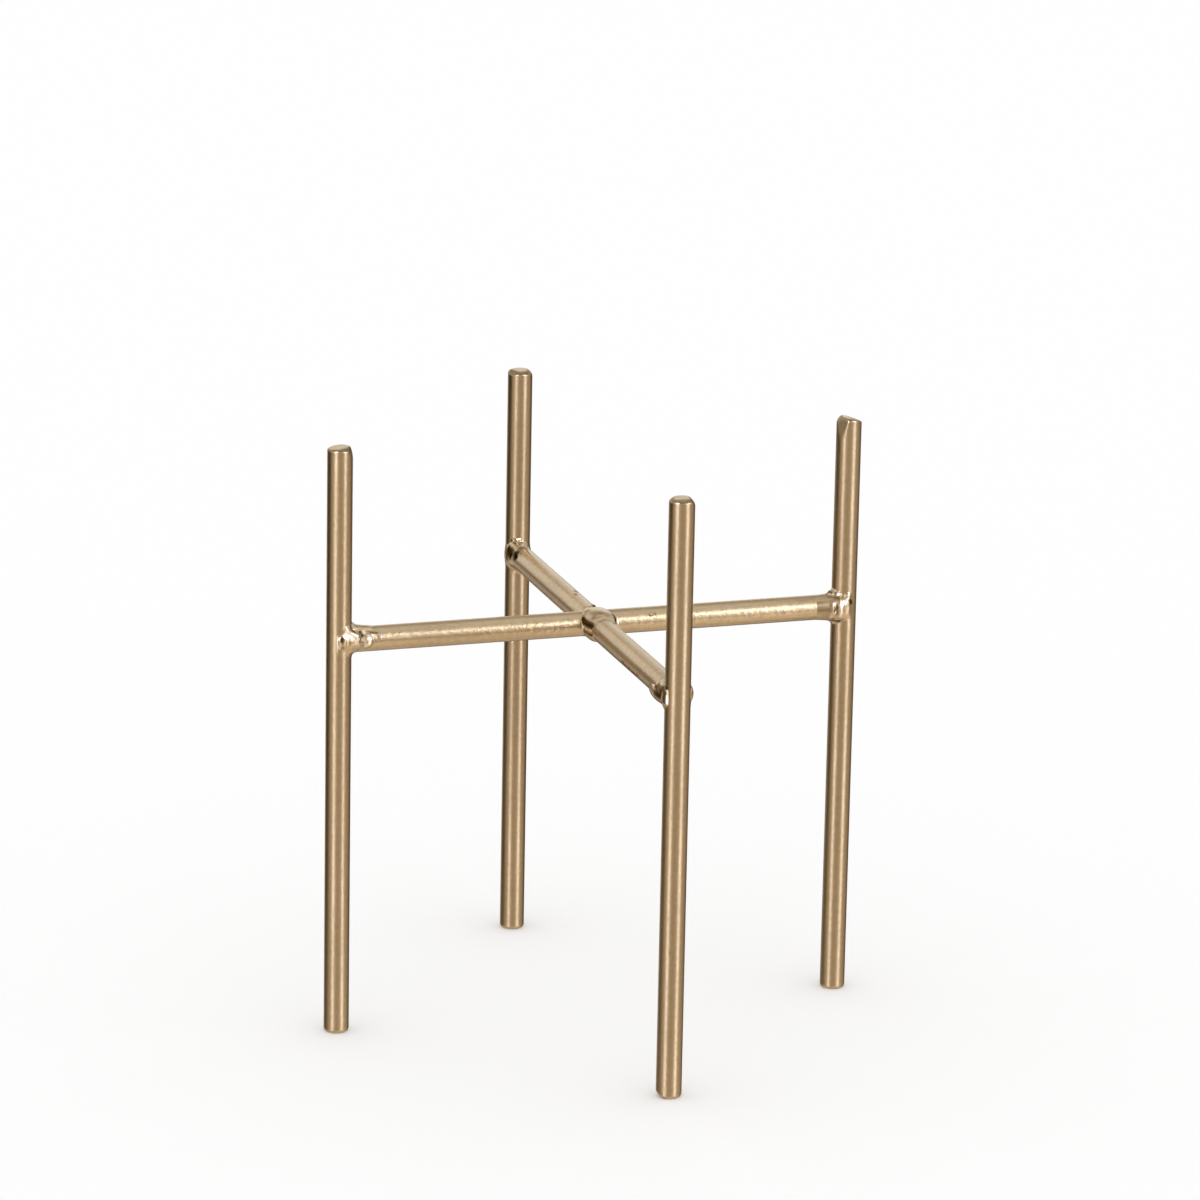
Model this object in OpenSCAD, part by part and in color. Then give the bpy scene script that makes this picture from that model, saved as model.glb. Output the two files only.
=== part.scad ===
// Small pot stand of round rod: four upright legs welded to a level cross of bars.
// The origin is on the floor under the crossing. The cross bar runs along X,
// the two half bars run along Y, and the front leg is the one towards -Y.

/* [Rod] */
// Diameter of the round rod that legs and bars are cut from
rod_d = 6; // [4:0.5:9]

/* [Stand] */
// Height of the legs
leg_h = 144; // [130:1:220]
// Height of the bars' top line, where the pot sits
seat_h = 100; // [40:1:115]
// Clear distance between opposite legs, the widest pot that fits
pot_d = 120; // [80:1:220]

/* [Rod ends] */
// How far the rounding of a leg's end comes in from its side
end_round_w = 0.9; // [0.4:0.1:1.4]
// How far the rounding of a leg's end runs along the leg
end_round_h = 0.9; // [0.4:0.1:2]
// Diameter of the nick in the rim of the front foot
nick_d = 1; // [0.6:0.1:1.6]

/* [Welds] */
// Gap that the weld fills between a bar's sawn end and the rod it meets
root_gap = 0.3; // [0.2:0.05:0.8]
// Thickness of the weld over the line where two rods meet
bead_t = 0.3; // [0.2:0.05:0.8]
// Distance from that line at which the weld has thinned to a third
bead_w = 1.3; // [1:0.1:2]
// How far the hollow blend between two rods reaches along each
fillet_w = 0.7; // [0.4:0.1:1.5]
// Depth at which a bead's edge runs out under the rod's face
toe_dip = 0.12; // [0.1:0.01:0.2]
// Diameter of the spatter ball on the centre bead
spatter_d = 1.5; // [1:0.1:2]

/* [Hidden] */
$fn = 180;
rod_r = rod_d / 2;
leg_at = pot_d / 2 + rod_r;
bar_z = seat_h - rod_r;
half_space = 8 * rod_d;
gold = [0.74, 0.62, 0.44];
weld_gold = [0.66, 0.54, 0.38];

// Flats ground on the rim of each leg's top:
// [direction it faces, tilt from level, depth taken off the rim]
GRINDS_LEFT = [[190, 14, 0.75], [322, 68, 0.95]];
GRINDS_RIGHT = [[10, 20, 1.3], [168, 45, 1], [218, 76, 0.7]];
GRINDS_FRONT = [[345, 48, 0.95], [170, 30, 0.7]];
GRINDS_BACK = [[340, 40, 0.85], [200, 36, 0.75]];
// Flat ground on the rim of the front foot, and the direction of the nick in it
GRINDS_FOOT = [[170, 42, 0.95]];
nick_turn = 225;

// Masses of weld metal at each leg, as ellipsoids: [centre, half axes, blend].
// Each joint is laid out with its leg along Z and its bar along +X.
BLOBS_LEFT = [[over_bar(3, 177, -0.7), [1.75, 1.5, 1.75], 0.3],
              [over_leg(275, 0.3, -0.5), [1.1, 1.1, 1.75], 0.3]];
BLOBS_RIGHT = [[over_leg(60, -0.7, -1.3), [2, 1.9, 2.6], 0.5]];
BLOBS_FRONT = [[over_bar(3.5, 330, -1), [7.4, 2.1, 2.1], 0.6],
               [over_bar(0.9, 8, -0.8), [3.2, 1.3, 2.6], 0.3],
               [over_leg(71, -0.8, -0.55), [1.6, 1.1, 2.4], 0.4],
               [over_leg(257, 0.8, -0.6), [1.3, 1.2, 2.1], 0.3]];
BLOBS_BACK = [[over_bar(0.6, 156, -0.75), [5.8, 1.25, 3.1], 0.4],
              [over_leg(301, 0.4, -0.65), [1.8, 1.35, 2.9], 0.4]];
BLOBS_CENTRE = [[[0, -rod_r - 0.4, rod_r - 1.3], [4.1, 6.3, 2.6], 0.3],
                [[-1.6, -rod_r - 0.2, -0.9], [2, 3.2, 2.2], 0.8]];
// Weld metal that ran out along a bar from its leg, thinning evenly:
// [length, thickness at the leg, turn of its middle, turn to either side]
SLEEVES_LEFT = [[6.4, 0.8, 78, 44], [6.6, 0.35, 165, 42]];
SLEEVES_RIGHT = [[5.8, 0.7, 0, 110]];
// Ripples and pits: [one end of the middle line, the other, thickness, radius]
LUMPS_LEFT = [[over_leg(292, 3.4, 0.1), over_bar(0.6, 148, 0.3), 0.5, 0.6],
              [over_bar(1.8, 150, 0.6), over_bar(1.8, 150, 0.6), -0.5, 0.55]];
LUMPS_RIGHT = [[over_bar(0, -10, 0.8), over_bar(0, 14, 0.8), -0.6, 0.5],
               [over_leg(55, 0.6, 0.5), over_leg(90, 3.2, 0.1), 0.5, 0.7],
               [over_bar(0.7, 88, 0.7), over_bar(-0.2, 80, 0.8), 0.6, 0.6]];
LUMPS_FRONT = [[over_bar(1.2, 62, 0.2), over_bar(1.2, 62, 0.2), -0.3, 0.6]];
LUMPS_BACK = [[over_leg(335, 4, 0.1), over_leg(352, 3.5, 0.2), 0.45, 0.5],
              [over_bar(0.3, 88, 0.2), over_bar(0.3, 88, 0.2), 0.4, 0.7]];
LUMPS_CENTRE = [[[-2.6, -6.5, rod_r + 0.3], [-1, -6.9, rod_r + 0.9], -0.5, 0.6]];
// Where the spatter ball sits: [x, y, height above the bars' top line]
spatter_at = [0.4, 2.7, 0.35];

// Turn of each leg's place and of its bead about the stand's axis
TURN_LEFT = 0;
TURN_FRONT = 90;
TURN_RIGHT = 180;
TURN_BACK = 270;

// Points round a bead, spacing of its rings on the bar, and their spacing in
// degrees where they pass over the leg and round the crossing
bead_points = 40;
ring_step = 0.55;
ring_turn = 10;
centre_ring_turn = 6;
// Halvings of a ray's length that find the bead's face on it
halvings = 13;

// ---- Rods ----

// Half outline of a leg: flat ends with an elliptic quarter round at each rim
function leg_outline() = concat(
    [[0, 0]],
    [for (t = [0 : 15 : 90])
        [rod_r - end_round_w * (1 - sin(t)), end_round_h * (1 - cos(t))]],
    [for (t = [0 : 15 : 90])
        [rod_r - end_round_w * (1 - cos(t)), leg_h - end_round_h * (1 - sin(t))]],
    [[0, leg_h]]);

// Everything outside a flat ground on the rim of a rod end that faces up at z = 0
module beyond_flat(flat) {
    rotate([0, flat[1], flat[0]])
        translate([-half_space / 2, -half_space / 2, rod_r * sin(flat[1]) - flat[2]])
            cube(half_space);
}

// An upright leg at its place, with the flats ground on its top and its foot
module leg(turn, top_flats, foot_flats = []) {
    foot_at = [-leg_at * cos(turn), -leg_at * sin(turn), 0];
    translate(foot_at)
        difference() {
            rotate_extrude() polygon(leg_outline());
            translate([0, 0, leg_h])
                for (flat = top_flats) beyond_flat(flat);
            mirror([0, 0, 1])
                for (flat = foot_flats) beyond_flat(flat);
        }
}

// A level rod along +X at the bars' height, from x = start to x = end
module bar(start, end) {
    translate([start, 0, bar_z])
        rotate([0, 90, 0])
            cylinder(r = rod_r, h = end - start);
}

// A half bar along +X, from the cross bar's face to the face of its leg
module half_bar() {
    bar(rod_r + root_gap, leg_at - rod_r - root_gap);
}

// The cross bar, from the face of one leg to the face of the other
module long_bar() {
    reach = leg_at - rod_r - root_gap;
    bar(-reach, reach);
}

// ---- Weld beads ----
// The face of a bead is where the blended distance to the rods equals the
// thickness that the weld has there. Its blobs are blended in as the rods are.
// It is found along rays from a point inside the joint, and the rods are then
// cut out of it.

// Place over a joint's bar: distance from the leg's face, turn round the bar from
// the joint's +Y through up, and lift off the bar's face
function over_bar(out, turn, lift) =
    [rod_r + out, (rod_r + lift) * cos(turn), (rod_r + lift) * sin(turn)];

// Place over a leg: turn round the leg from its bar, height above the bar's axis,
// and lift off the leg's face
function over_leg(turn, up, lift) =
    [(rod_r + lift) * cos(turn), (rod_r + lift) * sin(turn), up];

// Value kept between 0 and 1
function kept(v) = max(0, min(1, v));

// Sum of a list of numbers
function total(v, i = 0) = i < len(v) ? v[i] + total(v, i + 1) : 0;

// The smaller of two distances, rounded off where they are within width
function blended(a, b, width) = min(a, b) - pow(max(width - abs(a - b), 0), 2) / (4 * width);

// Distance from p to the face of a blob, close enough near its face
function from_blob(p, blob) =
    let (q = [for (k = [0 : 2]) (p[k] - blob[0][k]) / blob[1][k]],
         slope = norm([for (k = [0 : 2]) q[k] / blob[1][k]]))
    norm(q) * (norm(q) - 1) / max(slope, 1e-6);

// Distance d with the blobs blended in, one after the other
function with_blobs(d, p, blobs, i = 0) =
    i == len(blobs) ? d
    : with_blobs(blended(d, from_blob(p, blobs[i]), blobs[i][2]), p, blobs, i + 1);

// Thickness that a sleeve adds at p, only outwards of the middle of the leg
function sleeve(p, s) =
    let (share = kept(1 - (p[0] - rod_r) / s[0]) * kept((p[0] / rod_r - 0.3) / 0.4),
         turn = atan2(p[2], p[1]) - s[2] + 540,
         away = (turn - 360 * floor(turn / 360) - 180) / s[3],
         lift = max(norm([p[1], p[2]]) - rod_r, 0) / (1.6 * s[1]))
    s[1] * share * exp(-pow(away, 4) - pow(lift, 6));

// Thickness that a lump adds at p
function lump(p, l) =
    let (line = l[1] - l[0],
         share = norm(line) > 0 ? kept((p - l[0]) * line / (line * line)) : 0,
         d = norm(p - l[0] - share * line) / l[3])
    l[2] * exp(-d * d);

// How far the point p is outside a bead, given its distances a and b to the two
// rods. The metal is [blobs, sleeves, lumps].
function outside(p, a, b, metal) =
    with_blobs(blended(a, b, fillet_w), p, metal[0]) + toe_dip
    - bead_t * exp(-(a * a + b * b) / (bead_w * bead_w))
    - total([for (s = metal[1]) sleeve(p, s)])
    - total([for (l = metal[2]) lump(p, l)]);

// Distances from p to a leg along Z and to a bar along +X that starts in it
function leg_and_bar(p) =
    let (side = norm([p[1], p[2]]) - rod_r)
    [norm([p[0], p[1]]) - rod_r, p[0] > 0 ? side : norm([p[0], max(side, 0)])];

// Distances from p to the cross bar along X and to the half bars along Y
function bar_and_bar(p) = [norm([p[1], p[2]]) - rod_r, norm([p[0], p[2]]) - rod_r];

// How far p is outside the bead at a leg, or the one at the crossing
function outside_bead(p, metal, at_leg) =
    let (d = at_leg ? leg_and_bar(p) : bar_and_bar(p)) outside(p, d[0], d[1], metal);

// Length of the ray from o along d to the bead's face, between near and far
function ray(o, d, near, far, metal, at_leg, n = halvings) =
    let (mid = (near + far) / 2)
    n == 0 ? mid
    : outside_bead(o + mid * d, metal, at_leg) < 0
        ? ray(o, d, mid, far, metal, at_leg, n - 1)
        : ray(o, d, near, mid, metal, at_leg, n - 1);

// Length of the ray along d to an ellipsoid of the given half axes
function rim(d, axes) = 1 / norm([d[0] / axes[0], d[1] / axes[1], d[2] / axes[2]]);

// Closed solid through rings of points, from one pole point to the other
module ringed(first, rings, last) {
    m = len(rings);
    n = len(rings[0]);
    points = concat([first], [for (r = rings) each r], [last]);
    function at(i, j) = 1 + i * n + j % n;
    caps = [for (j = [0 : n - 1]) each [[0, at(0, j + 1), at(0, j)],
                                        [m * n + 1, at(m - 1, j), at(m - 1, j + 1)]]];
    sides = [for (i = [0 : m - 2], j = [0 : n - 1])
        each [[at(i, j), at(i + 1, j + 1), at(i + 1, j)],
              [at(i, j), at(i, j + 1), at(i + 1, j + 1)]]];
    polyhedron(points, concat(caps, sides));
}

// Half axis of the ellipsoid that bounds a bead's blobs and sleeves
function reach(metal, axis, way) = max(concat(
    [rod_r + 1.6 * bead_w],
    [for (blob = metal[0]) way * blob[0][axis] + blob[1][axis]],
    [for (s = metal[1]) axis == 0 ? rod_r + s[0] : 0]));

// Uncut bead of the joint between a leg along Z and a bar along +X, both
// through the origin
module leg_bead(metal) {
    root = [rod_r / 3, 0, 0];
    run = reach(metal, 0, 1);
    climb = rod_r + 1.7 * bead_w;
    axes = [run, climb, climb];
    along_bar = [for (x = [run - ring_step : -ring_step : root[0]])
        atan2(rod_r, x - root[0])];
    round_leg = [for (a = [90 : ring_turn : 180 - ring_turn / 2]) a];
    rings = [for (a = concat(along_bar, round_leg))
        [for (j = [0 : bead_points - 1])
            let (t = 360 * j / bead_points, d = [cos(a), sin(a) * cos(t), sin(a) * sin(t)])
            root + d * ray(root, d, 0, rim(d, axes), metal, true)]];
    ends = [for (d = [[1, 0, 0], [-1, 0, 0]])
        root + d * ray(root, d, 0, rim(d, axes), metal, true)];
    ringed(ends[0], rings, ends[1]);
}

// Uncut bead of the crossing, round the origin
module cross_bead(metal) {
    axes = [reach(metal, 0, 1), reach(metal, 1, -1), reach(metal, 2, 1)];
    rings = [for (a = [centre_ring_turn : centre_ring_turn : 180 - centre_ring_turn])
        [for (j = [0 : bead_points - 1])
            let (t = 360 * j / bead_points, d = [cos(t) * sin(a), sin(t) * sin(a), cos(a)])
            d * ray([0, 0, 0], d, 0, rim(d, axes), metal, false)]];
    ends = [for (d = [[0, 0, 1], [0, 0, -1]])
        d * ray([0, 0, 0], d, 0, rim(d, axes), metal, false)];
    ringed(ends[0], rings, ends[1]);
}

// The bead between a leg and its bar, with both rods cut out of it
module leg_weld(turn, metal) {
    rotate([0, 0, turn])
        difference() {
            translate([-leg_at, 0, bar_z]) leg_bead(metal);
            translate([-leg_at, 0, 0]) cylinder(r = rod_r, h = leg_h);
            mirror([1, 0, 0]) half_bar();
        }
}

// ---- Sub-parts ----

module leg_left() { color(gold) leg(TURN_LEFT, GRINDS_LEFT); }

module leg_right() { color(gold) leg(TURN_RIGHT, GRINDS_RIGHT); }

module leg_back() { color(gold) leg(TURN_BACK, GRINDS_BACK); }

module leg_front() {
    color(gold)
        difference() {
            leg(TURN_FRONT, GRINDS_FRONT, GRINDS_FOOT);
            translate([0, -leg_at, 0])
                rotate([0, 0, nick_turn])
                    translate([rod_r - end_round_w / 2, 0, end_round_h / 3])
                        sphere(d = nick_d, $fn = 32);
        }
}

module cross_bar() { color(gold) long_bar(); }

module half_bar_front() { color(gold) rotate([0, 0, -90]) half_bar(); }

module half_bar_back() { color(gold) rotate([0, 0, 90]) half_bar(); }

module weld_left() {
    color(weld_gold) leg_weld(TURN_LEFT, [BLOBS_LEFT, SLEEVES_LEFT, LUMPS_LEFT]);
}

module weld_right() {
    color(weld_gold) leg_weld(TURN_RIGHT, [BLOBS_RIGHT, SLEEVES_RIGHT, LUMPS_RIGHT]);
}

module weld_front() {
    color(weld_gold) leg_weld(TURN_FRONT, [BLOBS_FRONT, [], LUMPS_FRONT]);
}

module weld_back() {
    color(weld_gold) leg_weld(TURN_BACK, [BLOBS_BACK, [], LUMPS_BACK]);
}

module weld_centre() {
    color(weld_gold)
        difference() {
            union() {
                translate([0, 0, bar_z]) cross_bead([BLOBS_CENTRE, [], LUMPS_CENTRE]);
                translate([spatter_at[0], spatter_at[1], seat_h + spatter_at[2]])
                    sphere(d = spatter_d, $fn = 28);
            }
            long_bar();
            rotate([0, 0, 90]) half_bar();
            rotate([0, 0, -90]) half_bar();
        }
}

leg_left();
leg_right();
leg_front();
leg_back();
cross_bar();
half_bar_front();
half_bar_back();
weld_left();
weld_right();
weld_front();
weld_back();
weld_centre();
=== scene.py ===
"""Looks of a small welded pot stand of round rod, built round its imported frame.

Four upright legs carry a level cross of bars, and every joint is a weld bead under
the same satin metallic coat. Each rod and bead is one closed surface, worked out with
numpy on a grid of two parameters, that stands for the node of its name. Lengths are
metres, or millimetres on the welds and in the patches of the coat. Angles are degrees,
+Z is up and the front leg is the one towards -Y.
"""

import logging
from dataclasses import dataclass
from enum import Enum

import bpy
import numpy as np
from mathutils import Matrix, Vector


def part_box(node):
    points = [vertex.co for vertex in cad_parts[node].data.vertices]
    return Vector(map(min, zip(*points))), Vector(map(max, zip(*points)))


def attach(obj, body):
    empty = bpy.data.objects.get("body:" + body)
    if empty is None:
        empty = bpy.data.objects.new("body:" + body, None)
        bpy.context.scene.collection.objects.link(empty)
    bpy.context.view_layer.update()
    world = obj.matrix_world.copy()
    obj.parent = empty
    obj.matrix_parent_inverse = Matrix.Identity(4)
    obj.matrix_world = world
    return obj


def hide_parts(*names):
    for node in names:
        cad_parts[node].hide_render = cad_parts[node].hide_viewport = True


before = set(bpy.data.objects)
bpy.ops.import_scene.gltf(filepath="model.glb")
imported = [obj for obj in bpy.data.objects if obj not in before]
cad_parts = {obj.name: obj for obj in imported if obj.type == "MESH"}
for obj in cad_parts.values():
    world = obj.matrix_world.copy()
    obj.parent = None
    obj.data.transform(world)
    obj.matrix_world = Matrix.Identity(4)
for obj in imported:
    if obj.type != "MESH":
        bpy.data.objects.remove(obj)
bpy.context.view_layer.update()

LOG = logging.getLogger("pot_stand")
MM = 0.001
IMAGE_PX = 1200
TINT = "tint"
NO_REACH = 1e-9
NO_SLOPE = 1e-6
SQUARE = np.array([[-1.0, -1.0], [1.0, -1.0], [1.0, 1.0], [-1.0, 1.0]])

Array = np.ndarray
Object = bpy.types.Object
Socket = bpy.types.NodeSocket
Source = Socket | float | tuple[float, ...]
Vec3 = tuple[float, float, float]


def unit(turn: float) -> Array:
    """Level unit vector at a turn from +X towards +Y."""
    return np.array([np.cos(np.radians(turn)), np.sin(np.radians(turn)), 0.0])


def soft_min(a: Array, b: Array, width: float) -> Array:
    """The smaller of two values, rounded off where they are within width.

    Args:
        a: First value.
        b: Second value.
        width: Difference at which the rounding starts.

    Returns:
        min(a, b) less a parabola that is highest where the two are equal.
    """
    near = np.maximum(width - np.abs(a - b), 0.0)
    return np.minimum(a, b) - near * near / (4.0 * width)


def circles(radii: Array, heights: Array, turns: int) -> Array:
    """Circles of points about the Z axis.

    Args:
        radii: Radius r of each circle.
        heights: Height z of each circle.
        turns: Points on a circle.

    Returns:
        Array (m, n, 3) of r cos t, r sin t and z, with t evenly spaced once round.
    """
    t = 2 * np.pi * np.arange(turns) / turns
    r, z = radii[:, None], heights[:, None]
    return np.stack([r * np.cos(t), r * np.sin(t), z * np.ones(turns)], -1)


def add_object(name: str, data: bpy.types.ID) -> Object:
    """Adds an object to the scene.

    Args:
        name: Its name.
        data: Its data.

    Returns:
        The object.
    """
    made = bpy.data.objects.new(name, data)
    bpy.context.scene.collection.objects.link(made)
    return made


def ring_mesh(name: str, first: Array, rings: Array, last: Array) -> Object:
    """Makes a closed mesh object from rings of points between two pole points.

    Args:
        name: Name of the object and its mesh.
        first: Pole point before the first ring.
        rings: Array (m, n, 3) of rings, which turn so that the faces look outwards.
        last: Pole point after the last ring.

    Returns:
        The object, at the origin, with its place in its mesh.
    """
    m, n = rings.shape[:2]
    points = np.vstack([first[None], rings.reshape(-1, 3), last[None]])
    index = 1 + np.arange(m * n).reshape(m, n)
    across = np.roll(index, -1, axis=1)
    quads = np.stack([index[:-1], index[1:], across[1:], across[:-1]], -1).reshape(-1, 4)
    cap_first = np.stack([np.zeros(n, int), index[0], across[0]], -1)
    cap_last = np.stack([np.full(n, m * n + 1), across[-1], index[-1]], -1)
    mesh = bpy.data.meshes.new(name)
    mesh.from_pydata(points.tolist(), [], quads.tolist() + cap_first.tolist() + cap_last.tolist())
    mesh.polygons.foreach_set("use_smooth", np.ones(len(mesh.polygons), bool))
    mesh.update()
    return add_object(name, mesh)


# ---- Sizes, from the frame ----


@dataclass(frozen=True)
class StandSizes:
    """The stand's driving sizes, read from the boxes of its nodes."""

    rod_r: float
    leg_at: float
    leg_h: float
    bar_z: float

    @classmethod
    def from_frame(cls) -> "StandSizes":
        """Reads rod radius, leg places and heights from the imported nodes.

        Returns:
            The sizes.
        """
        low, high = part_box("leg_right")
        bar_low, bar_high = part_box("cross_bar")
        return cls(
            rod_r=(high.x - low.x) / 2,
            leg_at=(high.x + low.x) / 2,
            leg_h=high.z - low.z,
            bar_z=(bar_low.z + bar_high.z) / 2,
        )

    @property
    def rod_mm(self) -> float:
        """Rod radius in millimetres."""
        return self.rod_r / MM

    @property
    def crossing(self) -> Array:
        """Where the axes of the bars cross."""
        return np.array([0.0, 0.0, self.bar_z])


class Side(Enum):
    """The four legs, by the turn from each leg towards the stand's axis."""

    LEFT = 0
    FRONT = 90
    RIGHT = 180
    BACK = 270

    def foot(self, leg_at: float) -> Array:
        """Place of this side's leg on the floor."""
        return -leg_at * unit(self.value)

    def to_world(self, points: Array, sizes: StandSizes) -> Array:
        """Turns points of this side's joint to their place in the stand.

        Args:
            points: Points from where the axes meet, with the bar along +X.
            sizes: The stand's sizes.

        Returns:
            The points in the stand's frame.
        """
        c, s = unit(self.value)[:2]
        spun = points @ np.array([[c, s, 0.0], [-s, c, 0.0], [0.0, 0.0, 1.0]])
        return spun + self.foot(sizes.leg_at) + sizes.crossing


# ---- Node trees ----


@dataclass(frozen=True)
class Tree:
    """A tree of shader nodes under construction."""

    tree: bpy.types.NodeTree

    def fill(self, node: bpy.types.Node, inputs: dict[str, Source]) -> None:
        """Gives a node's inputs what they take, a constant or a link from a socket."""
        for name, value in inputs.items():
            if isinstance(value, Socket):
                self.tree.links.new(value, node.inputs[name])
            else:
                node.inputs[name].default_value = value

    def node(self, kind: str, inputs: dict[str, Source], **settings: object) -> bpy.types.Node:
        """Adds a node.

        Args:
            kind: Type of the node, such as ShaderNodeMix.
            inputs: What its inputs take.
            settings: Values of its properties.

        Returns:
            The node.
        """
        made = self.tree.nodes.new(kind)
        for key, value in settings.items():
            setattr(made, key, value)
        self.fill(made, inputs)
        return made

    def ranged(self, source: Source, start: float, stop: float,
               to: tuple[float, float] = (0.0, 1.0)) -> Socket:
        """A value that runs evenly while another does, and holds beyond its limits.

        Args:
            source: The other value.
            start: Its value where the run starts.
            stop: Its value where the run stops.
            to: Values at the start and at the stop.

        Returns:
            The socket that gives the value.
        """
        return self.node("ShaderNodeMapRange", {
            "Value": source, "From Min": start, "From Max": stop, "To Min": to[0], "To Max": to[1],
        }).outputs["Result"]

    def mixed(self, kind: str, share: Source, a: Source, b: Source) -> Socket:
        """A mix of two values or colours.

        Args:
            kind: FLOAT for values, RGBA for colours.
            share: Share of the second one.
            a: The first one.
            b: The second one.

        Returns:
            The socket that gives the mix.
        """
        inputs = {"Factor": share, "A": a, "B": b}
        return self.node("ShaderNodeMix", inputs, data_type=kind).outputs["Result"]


@dataclass(frozen=True)
class SprayedGrain:
    """The grain of the sprayed coat, as a node group that every finish shares.

    A fine noise is the flake, a wider one is the orange peel, and a very wide one is
    the drift of the coat's thickness. Flake and peel make the relief, which drives the
    normal through a Bump node. The tone mask is the relief with the drift mixed in,
    and the speck mask keeps only the highest peaks of the flake.

    Attributes:
        peel_share: Share of the peel in the relief.
        drift_share: Share of the drift in the tone.
        peaks: Heights of the flake at which a speck starts and is full.
        depth: Depth of the relief.
    """

    peel_share: float = 0.8
    drift_share: float = 0.4
    peaks: tuple[float, float] = (0.70, 0.78)
    depth: float = 0.2 * MM

    def build(self) -> bpy.types.NodeTree:
        """Makes the group.

        Returns:
            Its tree, with three scales and the relief as inputs, and the outputs Tone,
            Specks and Normal.
        """
        group = Tree(bpy.data.node_groups.new("sprayed_grain", "ShaderNodeTree"))
        sockets = group.tree.interface
        for name in ("Grain Scale", "Peel Scale", "Drift Scale", "Relief"):
            sockets.new_socket(name=name, in_out="INPUT", socket_type="NodeSocketFloat")
        for name, kind in (("Tone", "Float"), ("Specks", "Float"), ("Normal", "Vector")):
            sockets.new_socket(name=name, in_out="OUTPUT", socket_type=f"NodeSocket{kind}")
        inside = group.node("NodeGroupInput", {}).outputs
        place = group.node("ShaderNodeTexCoord", {}).outputs["Object"]

        def noise(scale: str, detail: float, roughness: float) -> Socket:
            """A noise at one of the group's scales."""
            return group.node("ShaderNodeTexNoise", {
                "Vector": place, "Scale": inside[scale], "Detail": detail, "Roughness": roughness,
            }).outputs["Fac"]

        flake = noise("Grain Scale", 2.0, 0.6)
        peel = noise("Peel Scale", 2.0, 0.5)
        drift = noise("Drift Scale", 3.0, 0.5)
        relief = group.mixed("FLOAT", self.peel_share, flake, peel)
        bump = group.node("ShaderNodeBump", {
            "Strength": inside["Relief"], "Distance": self.depth, "Height": relief,
        })
        group.node("NodeGroupOutput", {
            "Tone": group.mixed("FLOAT", self.drift_share, relief, drift),
            "Specks": group.ranged(flake, *self.peaks),
            "Normal": bump.outputs["Normal"],
        })
        return group.tree


# ---- Finishes ----


@dataclass(frozen=True)
class MetallicCoat:
    """Satin brass-coloured metallic coat over steel, under a clear lacquer.

    Attributes:
        light: Colour where its tone is highest.
        deep: Colour where its tone is lowest.
        speck: Colour of its specks.
        flop: Share of its colour that is left at a grazing angle.
        dark_mark_and_painted_shade: Colour where the tint is -1, painted shade on the welds and
            the legs' top rims, and the dark marks on the bars.
        painted_glint: Colour where the tint is 1, a painted highlight.
        tones: Limits of the tone mask between deep and light.
        roughness: Roughness where its tone is lowest and highest.
        lacquer: Weight of the lacquer.
        lacquer_gone_at: Tint at which the lacquer has gone, so that painted shade and dark marks
            lose their gloss.
    """

    name: str = "leg_coat"
    slot: str = "coated_rod"
    light: Vec3 = (0.49, 0.36, 0.20)
    deep: Vec3 = (0.39, 0.28, 0.145)
    speck: Vec3 = (0.16, 0.10, 0.05)
    flop: Vec3 = (0.62, 0.52, 0.40)
    dark_mark_and_painted_shade: Vec3 = (0.06, 0.036, 0.018)
    painted_glint: Vec3 = (0.95, 0.86, 0.72)
    tones: tuple[float, float] = (0.35, 0.65)
    roughness: tuple[float, float] = (0.40, 0.30)
    lacquer: float = 1.0
    lacquer_roughness: float = 0.25
    lacquer_ior: float = 1.68
    lacquer_gone_at: float = -0.8
    grain_scale: float = 1700.0
    peel_scale: float = 800.0
    drift_scale: float = 60.0
    relief: float = 0.3

    def build(self, grain: bpy.types.NodeTree) -> bpy.types.Material:
        """Makes the material.

        Args:
            grain: The node group of the sprayed grain.

        Returns:
            A Principled material whose colour, roughness and normal follow the grain,
            and whose colour and lacquer follow the piece's tint, which paints shade,
            highlights and dark marks on it.
        """
        made = bpy.data.materials.new(self.name)
        made.use_nodes = True
        tree = Tree(made.node_tree)
        coat = tree.node("ShaderNodeGroup", {
            "Grain Scale": self.grain_scale,
            "Peel Scale": self.peel_scale,
            "Drift Scale": self.drift_scale,
            "Relief": self.relief,
        }, node_tree=grain).outputs
        tint = tree.node("ShaderNodeAttribute", {}, attribute_name=TINT).outputs["Fac"]
        tone = tree.ranged(coat["Tone"], *self.tones)
        colour = tree.mixed("RGBA", tone, (*self.deep, 1.0), (*self.light, 1.0))
        colour = tree.mixed("RGBA", coat["Specks"], colour, (*self.speck, 1.0))
        # Painted shade and dark marks where the tint is below 0, painted highlights where it is
        # above 0.
        for most, shade in ((-1.0, self.dark_mark_and_painted_shade), (1.0, self.painted_glint)):
            colour = tree.mixed("RGBA", tree.ranged(tint, 0.0, most), colour, (*shade, 1.0))
        tree.fill(made.node_tree.nodes["Principled BSDF"], {
            "Base Color": colour,
            "Metallic": 1.0,
            "Roughness": tree.ranged(tone, 0.0, 1.0, to=self.roughness),
            "Specular Tint": (*self.flop, 1.0),
            # The lacquer fades out under the painted shade and the dark marks, which darkens them
            # further.
            "Coat Weight": tree.ranged(tint, self.lacquer_gone_at, 0.0, to=(0.0, self.lacquer)),
            "Coat Roughness": self.lacquer_roughness,
            "Coat IOR": self.lacquer_ior,
            "Normal": coat["Normal"],
        })
        return made


# ---- Patches of the coat, which paint shade, highlights and marks, and of the metal ----


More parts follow.
